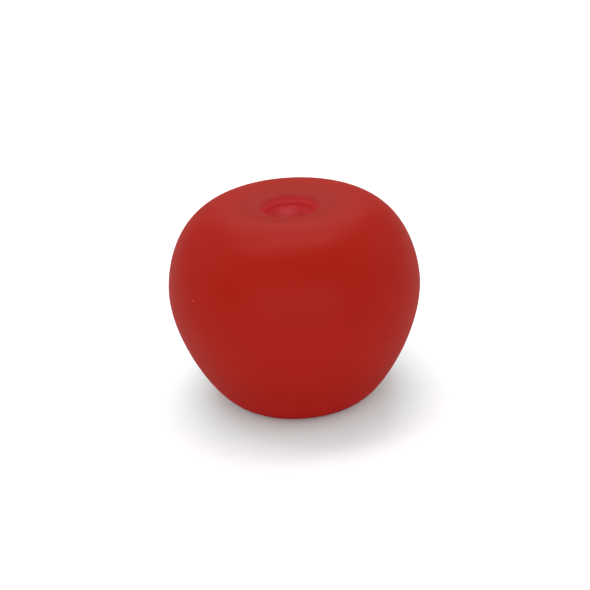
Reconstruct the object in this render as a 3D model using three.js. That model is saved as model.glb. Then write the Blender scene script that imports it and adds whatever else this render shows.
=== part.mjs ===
// A squat, apple-shaped garden game ball with a blind hole in its crown.
// A hard core holds a closed-ended liner, and two soft moulded covers wrap the core.
// Millimetres, +Z up, with the origin at the centre of the flat foot.

import * as THREE from 'three';

// Outside shape.
const WIDTH = 92;
const HEIGHT = 74;
const WIDEST_Z = 42;
const FOOT_RADIUS = 26;
const CROWN_RADIUS = 19;

// How far the side curve runs along each tangent before it turns: out from the foot, down and up
// from the widest ring, and out from the crown ring.
const FOOT_PULL = 5.5;
const LOWER_PULL = 17.5;
const UPPER_PULL = 8;
const CROWN_PULL = 23;

// Hole in the crown.
const HOLE_RADIUS = 8.8;
const HOLE_FLOOR_Z = 30;
const LIP_RADIUS = 3.2;
const DISH_DEPTH = 1.2;

// Covers and the lap joint between them at the widest ring.
const COVER_THICKNESS = 7;
const TONGUE_THICKNESS = 3.4;
const TONGUE_HEIGHT = 4;

// Liner: a sleeve with a closed end, and a flange trapped between the core and the upper cover.
const LINER_WALL = 2;
const LINER_FLOOR = 2.5;
const LINER_TOP_DROP = 0.4;
const FLANGE_RADIUS = 15;
const FLANGE_THICKNESS = 2.6;

// Clearance between pieces that touch.
const GAP = 0.3;

// Facets.
const AROUND = 64;
const CURVE_STEPS = 9;
const LIP_STEPS = 5;

const HALF_WIDTH = WIDTH / 2;
const LIP_CENTRE_RADIUS = HOLE_RADIUS + LIP_RADIUS;
const LIP_CENTRE_Z = HEIGHT - DISH_DEPTH - LIP_RADIUS;
const THROAT_Z = LIP_CENTRE_Z - LINER_TOP_DROP;
const LINER_RADIUS = HOLE_RADIUS + LINER_WALL;
const COVER_INNER_RADIUS = HALF_WIDTH - COVER_THICKNESS;
const COVER_CEILING_Z = HEIGHT - COVER_THICKNESS;
const TONGUE_RADIUS = COVER_INNER_RADIUS + TONGUE_THICKNESS;

function at(radius, z) {
  return new THREE.Vector2(radius, z);
}

// Lower side curve of a surface that lies inset from the outside, from its foot to its widest ring.
function lowerSide(inset) {
  const widest = HALF_WIDTH - inset;
  return new THREE.CubicBezierCurve(
    at(FOOT_RADIUS, inset),
    at(FOOT_RADIUS + FOOT_PULL, inset),
    at(widest, WIDEST_Z - LOWER_PULL),
    at(widest, WIDEST_Z),
  ).getPoints(CURVE_STEPS);
}

// Upper side curve of a surface that lies inset from the outside, from its widest ring to its crown.
function upperSide(inset) {
  const widest = HALF_WIDTH - inset;
  const top = HEIGHT - inset;
  const pull = Math.min(CROWN_PULL, widest - CROWN_RADIUS);
  return new THREE.CubicBezierCurve(
    at(widest, WIDEST_Z),
    at(widest, WIDEST_Z + UPPER_PULL),
    at(CROWN_RADIUS + pull, top),
    at(CROWN_RADIUS, top),
  ).getPoints(CURVE_STEPS);
}

// From the crown ring down the shallow dish and round the lip to the wall of the hole.
function mouth() {
  const points = [];
  for (let i = 1; i < LIP_STEPS; i += 1) {
    const t = i / LIP_STEPS;
    const radius = CROWN_RADIUS + (LIP_CENTRE_RADIUS - CROWN_RADIUS) * t;
    points.push(at(radius, HEIGHT - DISH_DEPTH * t * t * (3 - 2 * t)));
  }
  for (let i = 0; i <= LIP_STEPS; i += 1) {
    const turn = (Math.PI / 2) * (i / LIP_STEPS);
    points.push(at(
      LIP_CENTRE_RADIUS - LIP_RADIUS * Math.sin(turn),
      LIP_CENTRE_Z + LIP_RADIUS * Math.cos(turn),
    ));
  }
  return points;
}

// Solid of revolution about Z from its outline, which runs anticlockwise with Z up.
function turned(name, outline, material) {
  const geometry = new THREE.LatheGeometry(outline, AROUND);
  geometry.rotateX(Math.PI / 2);
  const mesh = new THREE.Mesh(geometry, material);
  mesh.name = name;
  return mesh;
}

function coverUpper() {
  const seamZ = WIDEST_Z + GAP / 2;
  const outside = upperSide(0).slice(1);
  const inside = upperSide(COVER_THICKNESS).reverse();
  const tongueTopZ = WIDEST_Z + TONGUE_HEIGHT + GAP;
  const outline = [
    at(HALF_WIDTH, seamZ),
    ...outside,
    ...mouth(),
    at(HOLE_RADIUS, THROAT_Z + GAP),
    at(LINER_RADIUS + GAP, THROAT_Z + GAP),
    at(LINER_RADIUS + GAP, COVER_CEILING_Z),
    ...inside.filter((point) => point.y > tongueTopZ + GAP),
    at(COVER_INNER_RADIUS, tongueTopZ),
    at(TONGUE_RADIUS + GAP, tongueTopZ),
    at(TONGUE_RADIUS + GAP, seamZ),
    at(HALF_WIDTH, seamZ),
  ];
  const rubber = new THREE.MeshStandardMaterial({ color: 0xb02a1e, roughness: 0.5, metalness: 0 });
  return turned('cover_upper', outline, rubber);
}

function coverLower() {
  const seamZ = WIDEST_Z - GAP / 2;
  const outside = lowerSide(0).slice(0, -1);
  const inside = lowerSide(COVER_THICKNESS).reverse();
  const tongueTopZ = WIDEST_Z + TONGUE_HEIGHT;
  const outline = [
    at(0, 0),
    ...outside,
    at(HALF_WIDTH, seamZ),
    at(TONGUE_RADIUS, seamZ),
    at(TONGUE_RADIUS, tongueTopZ),
    at(COVER_INNER_RADIUS, tongueTopZ),
    ...inside,
    at(0, COVER_THICKNESS),
  ];
  const rubber = new THREE.MeshStandardMaterial({ color: 0xa8241a, roughness: 0.5, metalness: 0 });
  return turned('cover_lower', outline, rubber);
}

// One dense block with a blind bore for the liner and a recess for the liner's flange.
function core() {
  const inset = COVER_THICKNESS + GAP;
  const topZ = HEIGHT - inset;
  const boreRadius = LINER_RADIUS + GAP;
  const recessZ = topZ - FLANGE_THICKNESS - GAP;
  const outline = [
    at(0, inset),
    ...lowerSide(inset),
    ...upperSide(inset).slice(1),
    at(FLANGE_RADIUS + GAP, topZ),
    at(FLANGE_RADIUS + GAP, recessZ),
    at(boreRadius, recessZ),
    at(boreRadius, HOLE_FLOOR_Z - LINER_FLOOR - GAP),
    at(0, HOLE_FLOOR_Z - LINER_FLOOR - GAP),
  ];
  const composite = new THREE.MeshStandardMaterial({ color: 0x7d6a52, roughness: 0.8, metalness: 0 });
  return turned('core', outline, composite);
}

function holeLiner() {
  const flangeTopZ = COVER_CEILING_Z - GAP;
  const flangeBottomZ = flangeTopZ - FLANGE_THICKNESS;
  const outline = [
    at(0, HOLE_FLOOR_Z - LINER_FLOOR),
    at(LINER_RADIUS, HOLE_FLOOR_Z - LINER_FLOOR),
    at(LINER_RADIUS, flangeBottomZ),
    at(FLANGE_RADIUS, flangeBottomZ),
    at(FLANGE_RADIUS, flangeTopZ),
    at(LINER_RADIUS, flangeTopZ),
    at(LINER_RADIUS, THROAT_Z),
    at(HOLE_RADIUS, THROAT_Z),
    at(HOLE_RADIUS, HOLE_FLOOR_Z),
    at(0, HOLE_FLOOR_Z),
  ];
  const plastic = new THREE.MeshStandardMaterial({ color: 0xb83a3c, roughness: 0.45, metalness: 0 });
  return turned('hole_liner', outline, plastic);
}

const group = new THREE.Group();
group.add(coverUpper(), coverLower(), core(), holeLiner());

export default group;
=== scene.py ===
"""Looks of a squat, apple-shaped garden game ball with a blind hole in its crown.

Two satin covers meet flush at the widest ring, a liner shows inside the hole, and the core stays
hidden. Metres, +Z up, with the origin at the centre of the foot.
"""

import math

import bpy
from mathutils import Matrix, Vector


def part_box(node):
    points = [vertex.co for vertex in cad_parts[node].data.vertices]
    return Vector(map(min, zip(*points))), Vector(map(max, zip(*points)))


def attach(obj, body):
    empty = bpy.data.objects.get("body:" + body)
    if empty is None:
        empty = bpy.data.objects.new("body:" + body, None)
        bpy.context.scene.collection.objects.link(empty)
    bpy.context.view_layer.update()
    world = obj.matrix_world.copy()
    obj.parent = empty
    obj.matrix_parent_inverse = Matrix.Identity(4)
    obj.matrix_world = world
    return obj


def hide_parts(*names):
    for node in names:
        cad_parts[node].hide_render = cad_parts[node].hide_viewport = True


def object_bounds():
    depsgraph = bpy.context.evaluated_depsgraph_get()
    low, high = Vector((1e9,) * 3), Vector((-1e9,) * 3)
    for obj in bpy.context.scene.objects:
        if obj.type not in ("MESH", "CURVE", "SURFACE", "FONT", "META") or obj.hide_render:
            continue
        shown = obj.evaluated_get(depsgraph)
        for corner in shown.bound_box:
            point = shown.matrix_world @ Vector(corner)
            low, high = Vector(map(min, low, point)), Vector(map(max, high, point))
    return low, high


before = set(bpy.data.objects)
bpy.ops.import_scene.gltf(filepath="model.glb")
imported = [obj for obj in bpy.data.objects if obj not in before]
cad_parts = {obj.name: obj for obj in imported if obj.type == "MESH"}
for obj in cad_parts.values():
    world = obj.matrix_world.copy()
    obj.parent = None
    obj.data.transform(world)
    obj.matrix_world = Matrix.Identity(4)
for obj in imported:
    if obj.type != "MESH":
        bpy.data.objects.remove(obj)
cad_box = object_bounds()

# Clearance between CAD pieces that touch.
GAP = 0.0003

# Sizes that the frame gives.
HALF_WIDTH = cad_box[1].x
HEIGHT = cad_box[1].z
WIDEST_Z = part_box("cover_upper")[0].z - GAP / 2
TONGUE_TOP_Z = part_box("cover_lower")[1].z
COVER_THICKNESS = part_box("core")[0].z - GAP
LINER_TOP_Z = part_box("hole_liner")[1].z
LINER_BOTTOM_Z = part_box("hole_liner")[0].z
FLANGE_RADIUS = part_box("hole_liner")[1].x

# Sizes that the boxes don't show, as in the CAD part.
FOOT_RADIUS = 0.026
CROWN_RADIUS = 0.019
FOOT_PULL = 0.0055
LOWER_PULL = 0.0175
UPPER_PULL = 0.008
CROWN_PULL = 0.023
HOLE_RADIUS = 0.0088
LIP_RADIUS = 0.0032
DISH_DEPTH = 0.0012
TONGUE_THICKNESS = 0.0034
LINER_WALL = 0.002
LINER_FLOOR = 0.0025
FLANGE_THICKNESS = 0.0026

# Fine-mesh steps, and the decimal places within which two rings are one.
AROUND = 256
SIDE_STEPS = 48
SMALL_STEPS = 12
MERGE_DIGITS = 7

COVER_INNER_RADIUS = HALF_WIDTH - COVER_THICKNESS
TONGUE_RADIUS = COVER_INNER_RADIUS + TONGUE_THICKNESS
CEILING_Z = HEIGHT - COVER_THICKNESS
LIP_CENTRE = (HOLE_RADIUS + LIP_RADIUS, HEIGHT - DISH_DEPTH - LIP_RADIUS)
LINER_RADIUS = HOLE_RADIUS + LINER_WALL


# Outlines. A run is a smooth stretch of (radius, z, normal radius, normal z), and an outline goes
# anticlockwise with Z up, so a run's normal is on the right of the way it goes.

def with_normal(point, direction):
    """A point of a run that goes in this direction."""
    length = math.hypot(*direction)
    return (*point, direction[1] / length, -direction[0] / length)


def straight(start, end, steps=1):
    direction = (end[0] - start[0], end[1] - start[1])
    points = []
    for i in range(steps + 1):
        t = i / steps
        points.append(with_normal((start[0] + direction[0] * t, start[1] + direction[1] * t), direction))
    return points


def bezier(p0, p1, p2, p3, steps):
    points = []
    for i in range(steps + 1):
        t = i / steps
        u = 1 - t
        point = [u**3 * a + 3 * u * u * t * b + 3 * u * t * t * c + t**3 * d
                 for a, b, c, d in zip(p0, p1, p2, p3)]
        slope = [u * u * (b - a) + 2 * u * t * (c - b) + t * t * (d - c)
                 for a, b, c, d in zip(p0, p1, p2, p3)]
        points.append(with_normal(point, slope))
    return points


def arc(centre, radius, start, end, steps):
    """An arc from one angle to another, in degrees from +radius towards +Z."""
    points = []
    turn = 1 if end > start else -1
    for i in range(steps + 1):
        angle = math.radians(start + (end - start) * i / steps)
        point = (centre[0] + radius * math.cos(angle), centre[1] + radius * math.sin(angle))
        direction = (-turn * math.sin(angle), turn * math.cos(angle))
        points.append(with_normal(point, direction))
    return points


def backwards(run):
    return [(r, z, -nr, -nz) for r, z, nr, nz in reversed(run)]


def lower_side(inset, steps):
    """From the foot out and up to the widest ring, inset from the outside."""
    widest = HALF_WIDTH - inset
    return bezier((FOOT_RADIUS, inset), (FOOT_RADIUS + FOOT_PULL, inset),
                  (widest, WIDEST_Z - LOWER_PULL), (widest, WIDEST_Z), steps)


def upper_side(inset, steps):
    """From the widest ring up and in to the crown ring, inset from the outside."""
    widest = HALF_WIDTH - inset
    top = HEIGHT - inset
    pull = min(CROWN_PULL, widest - CROWN_RADIUS)
    return bezier((widest, WIDEST_Z), (widest, WIDEST_Z + UPPER_PULL),
                  (CROWN_RADIUS + pull, top), (CROWN_RADIUS, top), steps)


def dish():
    """From the crown ring in to the lip."""
    start, end = (CROWN_RADIUS, HEIGHT), (LIP_CENTRE[0], HEIGHT - DISH_DEPTH)
    third = (start[0] - end[0]) / 3
    return bezier(start, (start[0] - third, start[1]), (end[0] + third, end[1]), end, SMALL_STEPS)


def lip():
    """Round from the dish to the wall of the hole."""
    return arc(LIP_CENTRE, LIP_RADIUS, 90, 180, SMALL_STEPS)


def on_axis(radius):
    return round(radius, MERGE_DIGITS) == 0


def turned(name, runs):
    """A closed solid of revolution about Z, with each face corner's normal taken from its run."""
    verts, faces, normals = [], [], []
    rings = {}
    turns = [(math.cos(math.tau * i / AROUND), math.sin(math.tau * i / AROUND)) for i in range(AROUND)]

    def ring(radius, z):
        """The first vertex of the ring at a radius and height, made once and shared."""
        key = (round(radius, MERGE_DIGITS), round(z, MERGE_DIGITS))
        if key not in rings:
            rings[key] = len(verts)
            if on_axis(radius):
                verts.append((0, 0, z))
            else:
                verts.extend((radius * c, radius * s, z) for c, s in turns)
        return rings[key]

    for run in runs:
        for a, b in zip(run, run[1:]):
            low, high = ring(a[0], a[1]), ring(b[0], b[1])
            for i in range(AROUND):
                j = (i + 1) % AROUND
                corners = [(low, a, i), (low, a, j), (high, b, j), (high, b, i)]
                if on_axis(a[0]):
                    del corners[1]
                elif on_axis(b[0]):
                    del corners[2]
                face = []
                for first, point, k in corners:
                    face.append(first if on_axis(point[0]) else first + k)
                    normals.append((point[2] * turns[k][0], point[2] * turns[k][1], point[3]))
                faces.append(face)
    mesh = bpy.data.meshes.new(name)
    mesh.from_pydata(verts, [], faces)
    mesh.polygons.foreach_set("use_smooth", [True] * len(faces))
    mesh.normals_split_custom_set(normals)
    piece = bpy.data.objects.new(name, mesh)
    bpy.context.scene.collection.objects.link(piece)
    return piece


def cover_upper():
    inside = [point for point in upper_side(COVER_THICKNESS, SMALL_STEPS) if point[1] > TONGUE_TOP_Z]
    foot_of_inside = (COVER_INNER_RADIUS, TONGUE_TOP_Z)
    return turned("upper_cover", [
        upper_side(0, SIDE_STEPS),
        dish(),
        lip(),
        straight((HOLE_RADIUS, LIP_CENTRE[1]), (HOLE_RADIUS, LINER_TOP_Z), 2),
        straight((HOLE_RADIUS, LINER_TOP_Z), (LINER_RADIUS, LINER_TOP_Z)),
        straight((LINER_RADIUS, LINER_TOP_Z), (LINER_RADIUS, CEILING_Z)),
        straight((LINER_RADIUS, CEILING_Z), (CROWN_RADIUS, CEILING_Z)),
        backwards(inside),
        straight(inside[0][:2], foot_of_inside),
        straight(foot_of_inside, (TONGUE_RADIUS, TONGUE_TOP_Z)),
        straight((TONGUE_RADIUS, TONGUE_TOP_Z), (TONGUE_RADIUS, WIDEST_Z)),
        straight((TONGUE_RADIUS, WIDEST_Z), (HALF_WIDTH, WIDEST_Z)),
    ])


def cover_lower():
    return turned("lower_cover", [
        straight((0, 0), (FOOT_RADIUS, 0), 4),
        lower_side(0, SIDE_STEPS),
        straight((HALF_WIDTH, WIDEST_Z), (TONGUE_RADIUS, WIDEST_Z)),
        straight((TONGUE_RADIUS, WIDEST_Z), (TONGUE_RADIUS, TONGUE_TOP_Z)),
        straight((TONGUE_RADIUS, TONGUE_TOP_Z), (COVER_INNER_RADIUS, TONGUE_TOP_Z)),
        straight((COVER_INNER_RADIUS, TONGUE_TOP_Z), (COVER_INNER_RADIUS, WIDEST_Z)),
        backwards(lower_side(COVER_THICKNESS, SMALL_STEPS)),
        straight((FOOT_RADIUS, COVER_THICKNESS), (0, COVER_THICKNESS)),
    ])


def liner():
    flange_top = CEILING_Z - GAP
    flange_bottom = flange_top - FLANGE_THICKNESS
    floor_z = LINER_BOTTOM_Z + LINER_FLOOR
    fillet = LINER_WALL
    return turned("liner", [
        straight((0, LINER_BOTTOM_Z), (LINER_RADIUS, LINER_BOTTOM_Z)),
        straight((LINER_RADIUS, LINER_BOTTOM_Z), (LINER_RADIUS, flange_bottom)),
        straight((LINER_RADIUS, flange_bottom), (FLANGE_RADIUS, flange_bottom)),
        straight((FLANGE_RADIUS, flange_bottom), (FLANGE_RADIUS, flange_top)),
        straight((FLANGE_RADIUS, flange_top), (LINER_RADIUS, flange_top)),
        straight((LINER_RADIUS, flange_top), (LINER_RADIUS, LINER_TOP_Z)),
        straight((LINER_RADIUS, LINER_TOP_Z), (HOLE_RADIUS, LINER_TOP_Z)),
        straight((HOLE_RADIUS, LINER_TOP_Z), (HOLE_RADIUS, floor_z + fillet), SMALL_STEPS),
        arc((HOLE_RADIUS - fillet, floor_z + fillet), fillet, 0, -90, SMALL_STEPS),
        straight((HOLE_RADIUS - fillet, floor_z), (0, floor_z), 2),
    ])


# Materials. Colours are linear, lengths are in metres, and scales are in features per metre.

# The covers' red: cloudy, with pale nicks, and a painted glow that makes it fuller towards the foot.
CLOUD_REDS = ((0.275, 0.005, 0.0002), (0.285, 0.006, 0.0004))
CLOUD_SCALE = 90
PAINTED_FOOT_GLOW_RED = (0.38, 0.002, 0.0001)
PAINTED_FOOT_GLOW_TOP_Z = 0.4 * WIDEST_Z
NICK_RED = (0.6, 0.22, 0.18)
NICK_RADIUS = 0.0003
NICK_SPACING = 0.011

# Painted light: a painted sheen and shade make it greyer and darker on the crown, and a painted
# glow makes it paler and pinker into the hole. Each step gives the distances from a point on the
# axis, MOUTH_DEPTH below the top, at which its red starts and is full.
PAINTED_CROWN_SHADE_AND_SHEEN_RED = (0.255, 0.0085, 0.003)
PAINTED_LIP_GLOW_RED = (0.31, 0.011, 0.012)
PAINTED_THROAT_GLOW_RED = (0.6, 0.036, 0.038)
MOUTH_DEPTH = 0.006
PAINTED_MOUTH_LIGHT_STEPS = ((0.026, 0.014, PAINTED_CROWN_SHADE_AND_SHEEN_RED), (0.0122, 0.0104, PAINTED_LIP_GLOW_RED), (0.0108, 0.0083, PAINTED_THROAT_GLOW_RED))

# The liner's pinker red, painted much paler as a glow of light through the wall, which takes over
# from the throat's, and a painted highlight streak down one side of the hole.
PAINTED_DEEP_GLOW_RED = (0.74, 0.08, 0.085)
PAINTED_DEEP_GLOW_TOP_Z = LINER_TOP_Z - 0.0035
PAINTED_THROAT_GLOW_FOOT_Z = LINER_TOP_Z + 0.0015
PAINTED_HIGHLIGHT_RED = (0.83, 0.145, 0.155)
PAINTED_HIGHLIGHT_X = -0.0012
PAINTED_HIGHLIGHT_RADIUS = 0.0055
PAINTED_HIGHLIGHT_CORE_RADIUS = 0.0005

# The satin surface of the covers and the liner.
SATIN_ROUGHNESS = 0.42
SATIN_UNEVENNESS = 0.06
SATIN_GLOSS = 0.2
GRAIN_SCALE = 3200
GRAIN_HEIGHT = 0.00001
GRAIN_STRENGTH = 0.35

# The hidden core.
CORE_BROWNS = ((0.10, 0.07, 0.04), (0.24, 0.18, 0.11))
CORE_FLECK_SCALE = 700
CORE_ROUGHNESS = 0.85
CORE_RELIEF = 0.0001

# The floor, with a blue-green tint painted near the ball to cancel the red light that the ball throws on it.
PAPER_WHITES = ((0.89, 0.89, 0.89), (0.91, 0.91, 0.91))
PAPER_SCALE = 400
PAINTED_BOUNCE_CANCEL_PAPER = (0.81, 1, 1)
PAINTED_BOUNCE_CANCEL_RADIUS = 1.45 * HALF_WIDTH

# A Mix node's colour sockets, which share their names with its other sockets.
MIX_FIRST = 6
MIX_SECOND = 7
MIX_RESULT = 2


def new_material(name):
    material = bpy.data.materials.new(name)
    material.use_nodes = True
    nodes, links = material.node_tree.nodes, material.node_tree.links
    return material, nodes, links, nodes["Principled BSDF"]


def noise(nodes, links, scale, detail):
    """Noise in the object's own space."""
    place = nodes.new("ShaderNodeTexCoord")
    texture = nodes.new("ShaderNodeTexNoise")
    texture.inputs["Scale"].default_value = scale
    texture.inputs["Detail"].default_value = detail
    links.new(place.outputs["Object"], texture.inputs["Vector"])
    return texture.outputs["Fac"]


def ramp(nodes, links, value, stops):
    """A colour ramp between two (position, colour) stops."""
    node = nodes.new("ShaderNodeValToRGB")
    elements = node.color_ramp.elements
    elements[0].position, elements[0].color = stops[0][0], (*stops[0][1], 1)
    elements[1].position, elements[1].color = stops[1][0], (*stops[1][1], 1)
    links.new(value, node.inputs["Fac"])
    return node.outputs["Color"]


def satin_plastic(name):
    """Moulded satin surface: a fine pebbled grain under a thin coat, which alone gives the gloss."""
    material, nodes, links, shader = new_material(name)
    grain = noise(nodes, links, GRAIN_SCALE, detail=2)
    spread = nodes.new("ShaderNodeMapRange")
    spread.inputs["To Min"].default_value = SATIN_ROUGHNESS - SATIN_UNEVENNESS
    spread.inputs["To Max"].default_value = SATIN_ROUGHNESS + SATIN_UNEVENNESS
    links.new(grain, spread.inputs["Value"])
    bump = nodes.new("ShaderNodeBump")
    bump.inputs["Strength"].default_value = GRAIN_STRENGTH
    bump.inputs["Distance"].default_value = GRAIN_HEIGHT
    links.new(grain, bump.inputs["Height"])
    shader.inputs["Specular IOR Level"].default_value = 0
    shader.inputs["Coat Weight"].default_value = SATIN_GLOSS
    shader.inputs["Coat Roughness"].default_value = SATIN_ROUGHNESS
    links.new(spread.outputs["Result"], shader.inputs["Roughness"])
    links.new(bump.outputs["Normal"], shader.inputs["Normal"])
    links.new(bump.outputs["Normal"], shader.inputs["Coat Normal"])
    return material, nodes, links, shader


def fade(nodes, links, value, start, end):
    """0 at start and 1 at end, eased at both."""
    node = nodes.new("ShaderNodeMapRange")
    node.interpolation_type = "SMOOTHSTEP"
    node.inputs["From Min"].default_value = start
    node.inputs["From Max"].default_value = end
    links.new(value, node.inputs["Value"])
    return node.outputs["Result"]


def blend(nodes, links, factor, first, second):
    """The first colour, a socket, where the factor is 0, and the second, a value, where it is 1."""
    node = nodes.new("ShaderNodeMix")
    node.data_type = "RGBA"
    links.new(factor, node.inputs["Factor"])
    links.new(first, node.inputs[MIX_FIRST])
    node.inputs[MIX_SECOND].default_value = (*second, 1)
    return node.outputs[MIX_RESULT]


def distance_from(nodes, links, point, along=(1, 1, 1)):
    """How far the surface is from a point in the object's own space, counting only some axes."""
    place = nodes.new("ShaderNodeTexCoord")
    counted = nodes.new("ShaderNodeVectorMath")
    counted.operation = "MULTIPLY"
    counted.inputs[1].default_value = along
    links.new(place.outputs["Object"], counted.inputs[0])
    node = nodes.new("ShaderNodeVectorMath")
    node.operation = "DISTANCE"
    node.inputs[1].default_value = point
    links.new(counted.outputs["Vector"], node.inputs[0])
    return node.outputs["Value"]


def height(nodes, links):
    """How high the surface is in the object's own space."""
    place = nodes.new("ShaderNodeTexCoord")
    split = nodes.new("ShaderNodeSeparateXYZ")
    links.new(place.outputs["Object"], split.inputs["Vector"])
    return split.outputs["Z"]


def nicks(nodes, links):
    """1 on a few tiny dots strewn over the surface, where it passes close to a cell's point."""
    place = nodes.new("ShaderNodeTexCoord")
    cells = nodes.new("ShaderNodeTexVoronoi")
    cells.inputs["Scale"].default_value = 1 / NICK_SPACING
    links.new(place.outputs["Object"], cells.inputs["Vector"])
    edge = NICK_RADIUS / NICK_SPACING
    return fade(nodes, links, cells.outputs["Distance"], edge, edge / 2)


def cover_material():
    """Faintly cloudy red with a few pale nicks, and painted light: a painted glow, fuller towards the foot
    and paler at the mouth of the hole, in place of the light that comes through a real cover, and a
    painted sheen and shade that make the crown greyer and darker."""
    material, nodes, links, shader = satin_plastic("satin_cover")
    clouds = noise(nodes, links, CLOUD_SCALE, detail=3)
    colour = ramp(nodes, links, clouds, [(0.3, CLOUD_REDS[0]), (0.7, CLOUD_REDS[1])])
    # Painted glow: a fuller red towards the foot, for light that comes through the cover.
    foot = fade(nodes, links, height(nodes, links), PAINTED_FOOT_GLOW_TOP_Z, 0)
    colour = blend(nodes, links, foot, colour, PAINTED_FOOT_GLOW_RED)
    colour = blend(nodes, links, nicks(nodes, links), colour, NICK_RED)
    # Painted light: painted sheen and shade on the crown and a painted glow into the hole.
    from_mouth = distance_from(nodes, links, (0, 0, HEIGHT - MOUTH_DEPTH))
    for start, end, red in PAINTED_MOUTH_LIGHT_STEPS:
        colour = blend(nodes, links, fade(nodes, links, from_mouth, start, end), colour, red)
    links.new(colour, shader.inputs["Base Color"])
    return material


def liner_material():
    """The throat's painted glow at the top, a pinker red with a painted glow down the hole, and a
    painted highlight streak down one side.
    """
    material, nodes, links, shader = satin_plastic("satin_liner")
    # Painted highlight: a pale streak down one side of the hole, in place of a reflection of the lights.
    from_painted_highlight = distance_from(nodes, links, (PAINTED_HIGHLIGHT_X, HOLE_RADIUS, 0), along=(1, 1, 0))
    painted_highlight = fade(nodes, links, from_painted_highlight, PAINTED_HIGHLIGHT_RADIUS, PAINTED_HIGHLIGHT_CORE_RADIUS)
    colour = ramp(nodes, links, painted_highlight, [(0, PAINTED_DEEP_GLOW_RED), (1, PAINTED_HIGHLIGHT_RED)])
    # Painted glow: the throat's pale red fading in at the top of the liner.
    top = fade(nodes, links, height(nodes, links), PAINTED_DEEP_GLOW_TOP_Z, PAINTED_THROAT_GLOW_FOOT_Z)
    links.new(blend(nodes, links, top, colour, PAINTED_THROAT_GLOW_RED), shader.inputs["Base Color"])
    return material


def core_material():
    """Pressed brown composite with darker and lighter flecks."""
    material, nodes, links, shader = new_material("flecked_core")
    flecks = noise(nodes, links, CORE_FLECK_SCALE, detail=4)
    colour = ramp(nodes, links, flecks, [(0.4, CORE_BROWNS[0]), (0.6, CORE_BROWNS[1])])
    links.new(colour, shader.inputs["Base Color"])
    shader.inputs["Roughness"].default_value = CORE_ROUGHNESS
    bump = nodes.new("ShaderNodeBump")
    bump.inputs["Distance"].default_value = CORE_RELIEF
    links.new(flecks, bump.inputs["Height"])
    links.new(bump.outputs["Normal"], shader.inputs["Normal"])
    return material


def floor_material():
    """White paper, tinted blue-green near the ball to even out the red light that the ball throws."""
    material, nodes, links, shader = new_material("floor_paper")
    fibres = noise(nodes, links, PAPER_SCALE, detail=3)
    paper = ramp(nodes, links, fibres, [(0.3, PAPER_WHITES[0]), (0.7, PAPER_WHITES[1])])
    # Painted tint that cancels the red light the ball throws on the floor.
    near = fade(nodes, links, distance_from(nodes, links, (0, 0, 0)), PAINTED_BOUNCE_CANCEL_RADIUS, FOOT_RADIUS)
    links.new(blend(nodes, links, near, paper, PAINTED_BOUNCE_CANCEL_PAPER), shader.inputs["Base Color"])
    shader.inputs["Roughness"].default_value = 1
    shader.inputs["Specular IOR Level"].default_value = 0
    return material


# Pieces.

def place(piece, material, slot, *nodes):
    """Give a piece its material, let it ride on the one body, and say which CAD nodes it replaces."""
    piece.data.materials.append(material)
    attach(piece, "root")
    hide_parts(*nodes)


rubber = cover_material()
place(cover_upper(), rubber, "cover_rubber", "cover_upper")
place(cover_lower(), rubber, "cover_rubber", "cover_lower")
place(liner(), liner_material(), "liner_plastic", "hole_liner")

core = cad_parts["core"]
core.data.materials.clear()
core.data.materials.append(core_material())


# Stage. Angles are in degrees, lengths in metres and the lens in millimetres.

FLOOR_HALF = 3.0
FLOOR_DROP = 0.00005
CAMERA_DISTANCE = 0.5
CAMERA_ELEVATION = 26
CAMERA_ROLL = 3.5
CAMERA_LENS = 82.8
CAMERA_CLIP_START = 0.01
BODY_CENTRE = Vector((0, 0, HEIGHT / 2))


def direction(azimuth, elevation):
    """From the body towards a light or the camera; azimuth 0 is towards the camera, 90 to its right."""
    a, e = math.radians(azimuth), math.radians(elevation)
    return Vector((math.sin(a) * math.cos(e), -math.cos(a) * math.cos(e), math.sin(e)))


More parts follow.
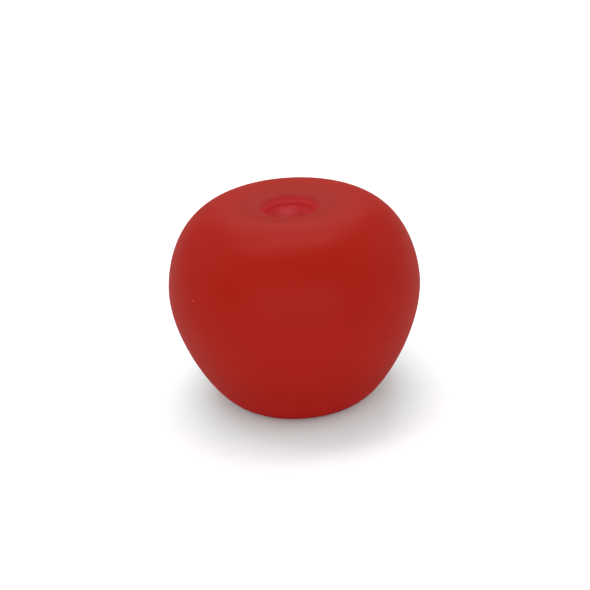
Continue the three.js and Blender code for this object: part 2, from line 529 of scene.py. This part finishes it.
def floor():
    """A wide sheet just under the foot."""
    corners = [(x * FLOOR_HALF, y * FLOOR_HALF, -FLOOR_DROP) for x, y in ((-1, -1), (1, -1), (1, 1), (-1, 1))]
    mesh = bpy.data.meshes.new("floor")
    mesh.from_pydata(corners, [], [(0, 1, 2, 3)])
    piece = bpy.data.objects.new("floor", mesh)
    bpy.context.scene.collection.objects.link(piece)
    mesh.materials.append(floor_material())


def softbox(name, azimuth, elevation, distance, width, height, radiance):
    """A rectangular area light aimed at the body, with the power that gives it this radiance."""
    light = bpy.data.lights.new(name, "AREA")
    light.shape = "RECTANGLE"
    light.size, light.size_y = width, height
    light.energy = radiance * math.pi * width * height
    lamp = bpy.data.objects.new(name, light)
    back = direction(azimuth, elevation)
    lamp.location = BODY_CENTRE + back * distance
    lamp.rotation_mode = "QUATERNION"
    lamp.rotation_quaternion = (-back).to_track_quat("-Z", "Y")
    bpy.context.scene.collection.objects.link(lamp)


def surroundings(radiance):
    """The same white light from all around."""
    world = bpy.data.worlds.new("studio")
    world.use_nodes = True
    background = world.node_tree.nodes["Background"]
    background.inputs["Color"].default_value = (1, 1, 1, 1)
    background.inputs["Strength"].default_value = radiance
    bpy.context.scene.world = world


def camera():
    """A long lens in front of the body, looking down at its centre and turned a little on its axis."""
    data = bpy.data.cameras.new("camera")
    data.lens = CAMERA_LENS
    data.clip_start = CAMERA_CLIP_START
    lens = bpy.data.objects.new("camera", data)
    back = direction(0, CAMERA_ELEVATION)
    aim = (-back).to_track_quat("-Z", "Y").to_matrix().to_4x4()
    roll = Matrix.Rotation(math.radians(-CAMERA_ROLL), 4, "Z")
    lens.matrix_world = Matrix.Translation(BODY_CENTRE + back * CAMERA_DISTANCE) @ aim @ roll
    bpy.context.scene.collection.objects.link(lens)
    bpy.context.scene.camera = lens


floor()
surroundings(radiance=0.88)
softbox("over", azimuth=197, elevation=78, distance=1.2, width=1.25, height=0.45, radiance=3.8)
softbox("front", azimuth=0, elevation=15, distance=1.4, width=2.2, height=0.62, radiance=1.6)
softbox("left", azimuth=-100, elevation=30, distance=1.3, width=0.8, height=0.6, radiance=0.85)
softbox("right", azimuth=100, elevation=25, distance=1.3, width=0.8, height=0.6, radiance=0.8)
softbox("back", azimuth=180, elevation=42, distance=1.3, width=1.0, height=0.6, radiance=1.8)
camera()
bpy.context.scene.view_settings.view_transform = "Standard"
